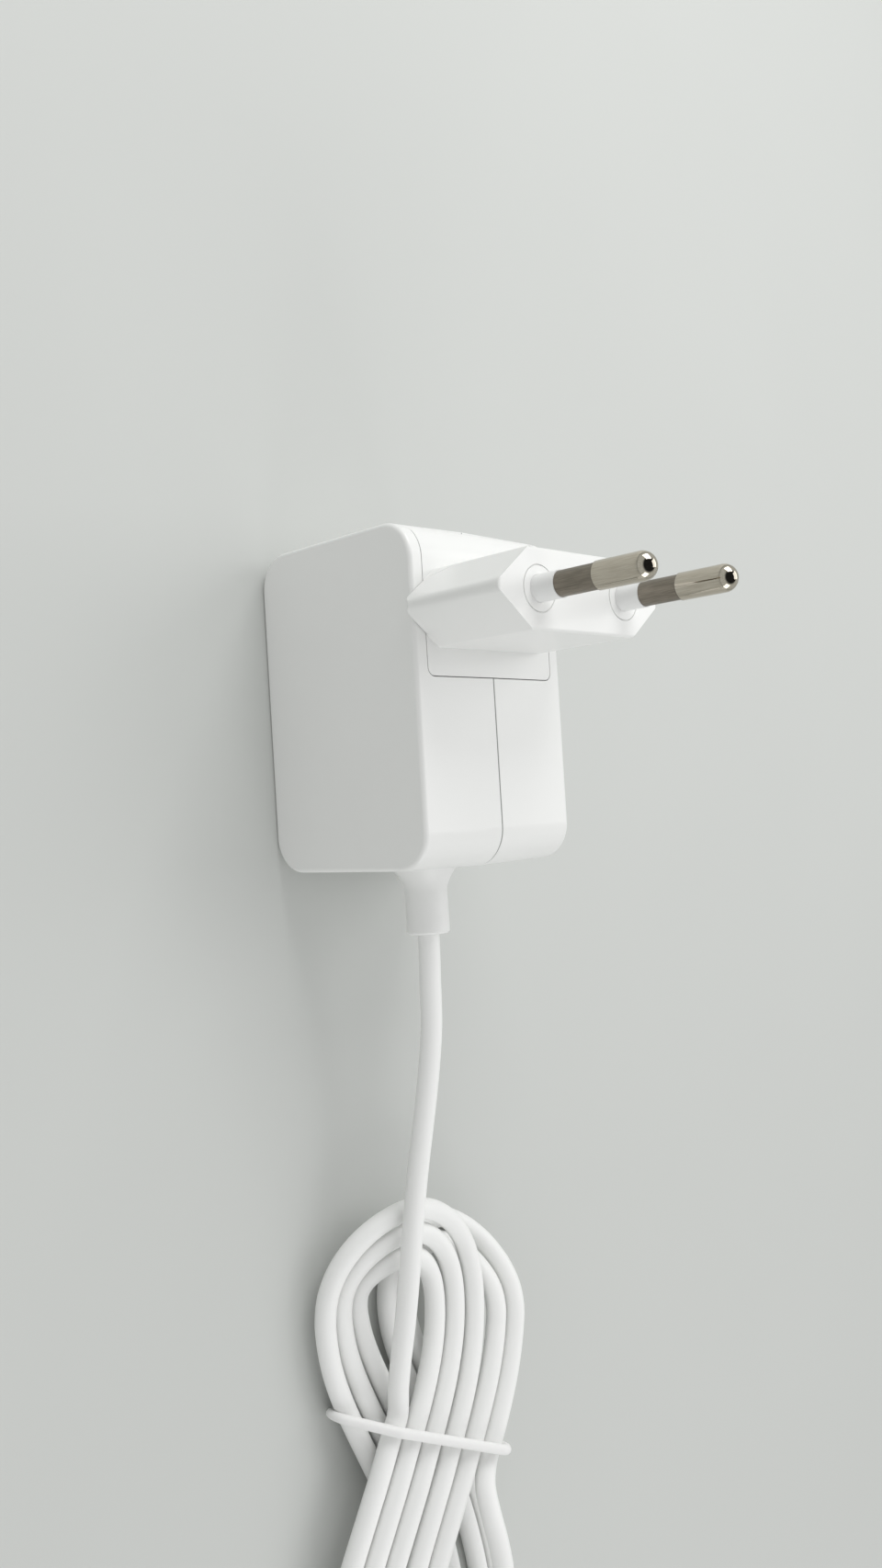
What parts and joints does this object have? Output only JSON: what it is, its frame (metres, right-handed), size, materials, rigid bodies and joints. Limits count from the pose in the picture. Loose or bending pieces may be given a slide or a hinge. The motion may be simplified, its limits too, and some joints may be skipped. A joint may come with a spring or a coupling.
{
  "type": "laptop power adapter",
  "caption": "Wall-plug power adapter with a slide-off two-pin head, a sealed converter and a tied output cord ending in a barrel plug.",
  "frame": {"origin": "centre of the housing's flat back face, on which the adapter lies", "axes": "+Z from the back face to the tips of the pins; +Y along the housing, away from the cord; +X across the housing's seam, towards the right pin"},
  "size_m": [0.0459, 0.2055, 0.0732],
  "materials": {
    "shell_white": "smooth glossy injection-moulded shell",
    "foot_white": "plain moulded foot",
    "sleeve_white": "satin moulded sleeve",
    "pin_nickel": "bright nickel plate",
    "contact_bronze": "stamped phosphor bronze strip",
    "spring_steel": "stamped spring steel",
    "board_green": "solder-masked board",
    "sheet_ivory": "thin insulating film",
    "case_black": "moulded component case",
    "case_white": "moulded component case",
    "disc_blue": "dipped epoxy coat",
    "ferrite_grey": "ground ferrite",
    "wire_copper": "enamelled copper wire",
    "can_navy": "shrink-sleeved aluminium can",
    "bobbin_tan": "moulded bobbin",
    "tape_yellow": "copper winding under polyester tape",
    "lead_grey": "insulated stranded wire",
    "cord_white": "satin flexible jacket",
    "tie_white": "plastic-coated tie wire"
  },
  "bodies": {
    "adapter": {"housing_left": "shell_white", "housing_right": "shell_white", "strain_relief": "cord_white", "contact_spring_left": "contact_bronze", "contact_spring_right": "contact_bronze", "detent_spring": "spring_steel", "circuit_board": "board_green", "insulation_sheet": "sheet_ivory", "fuse": "case_black", "surge_varistor": "disc_blue", "common_mode_choke_core": "ferrite_grey", "common_mode_choke_winding": "wire_copper", "bridge_rectifier": "case_black", "filter_inductor": "case_black", "input_capacitor_left": "can_navy", "input_capacitor_right": "can_navy", "controller_chip": "case_black", "transformer_core": "ferrite_grey", "transformer_bobbin": "bobbin_tan", "transformer_winding": "tape_yellow", "optocoupler": "case_white", "y_capacitor": "disc_blue", "output_diode": "case_black", "output_inductor": "case_black", "output_capacitor": "can_navy", "output_leads": "lead_grey", "cord": "cord_white", "cord_hank": "cord_white", "cord_tail": "cord_white", "twist_tie": "tie_white", "connector_grip": "cord_white", "connector_barrel": "pin_nickel", "connector_insulator": "case_black", "connector_contact": "pin_nickel"},
    "plug_head": {"plug_body": "shell_white", "plug_base": "foot_white", "pin_left": "pin_nickel", "pin_right": "pin_nickel", "sleeve_left": "sleeve_white", "sleeve_right": "sleeve_white", "head_contact_left": "contact_bronze", "head_contact_right": "contact_bronze"}
  },
  "joints": [
    {"name": "plug_head_slide", "type": "slide", "parent": "adapter", "child": "plug_head", "axis": [0, 1, 0], "range_m": [0, 0.026]}
  ]
}
